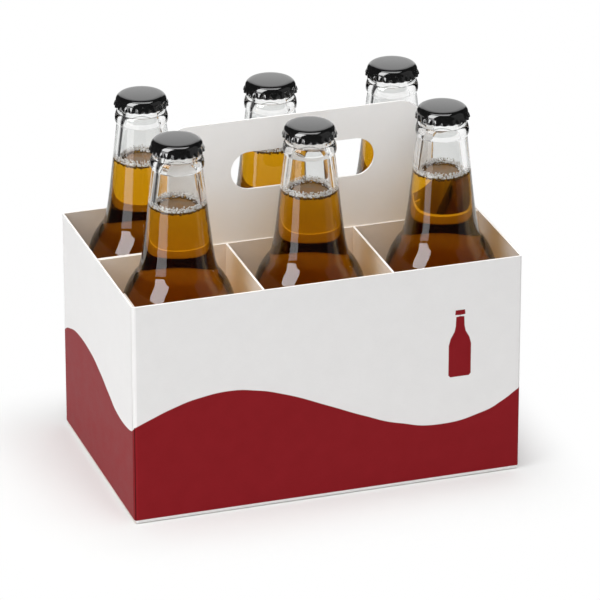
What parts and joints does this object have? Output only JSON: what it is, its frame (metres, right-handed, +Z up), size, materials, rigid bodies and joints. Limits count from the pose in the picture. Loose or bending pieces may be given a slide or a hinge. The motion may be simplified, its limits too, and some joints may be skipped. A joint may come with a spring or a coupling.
{
  "type": "beverage box",
  "caption": "Open paperboard carrier box with a centre handle panel and folded dividers, holding capped glass bottles of beer upright in its cells.",
  "frame": {"origin": "on the floor, under the middle of the box", "axes": "+Z up, +X along the box's length to the right of its front wall, -Y out of the front wall"},
  "size_m": [0.212, 0.13, 0.1991],
  "materials": {
    "printed_board": "white coated board with a dark red wave printed round the foot of the walls",
    "plain_board": "white board, unprinted",
    "clear_glass": "clear, glossy",
    "beer": "clear amber liquid",
    "cap_lacquer": "glossy black lacquer",
    "liner_plastic": "matt sealing disc"
  },
  "bodies": {
    "root": {"outer_carton": "printed_board", "handle_panel": "plain_board", "front_partition": "plain_board", "rear_partition": "plain_board", "bottle_front_left": "clear_glass", "bottle_front_middle": "clear_glass", "bottle_front_right": "clear_glass", "bottle_rear_left": "clear_glass", "bottle_rear_middle": "clear_glass", "bottle_rear_right": "clear_glass", "beer_front_left": "beer", "beer_front_middle": "beer", "beer_front_right": "beer", "beer_rear_left": "beer", "beer_rear_middle": "beer", "beer_rear_right": "beer", "crown_cap_front_left": "cap_lacquer", "crown_cap_front_middle": "cap_lacquer", "crown_cap_front_right": "cap_lacquer", "crown_cap_rear_left": "cap_lacquer", "crown_cap_rear_middle": "cap_lacquer", "crown_cap_rear_right": "cap_lacquer", "cap_liner_front_left": "liner_plastic", "cap_liner_front_middle": "liner_plastic", "cap_liner_front_right": "liner_plastic", "cap_liner_rear_left": "liner_plastic", "cap_liner_rear_middle": "liner_plastic", "cap_liner_rear_right": "liner_plastic"}
  },
  "joints": []
}
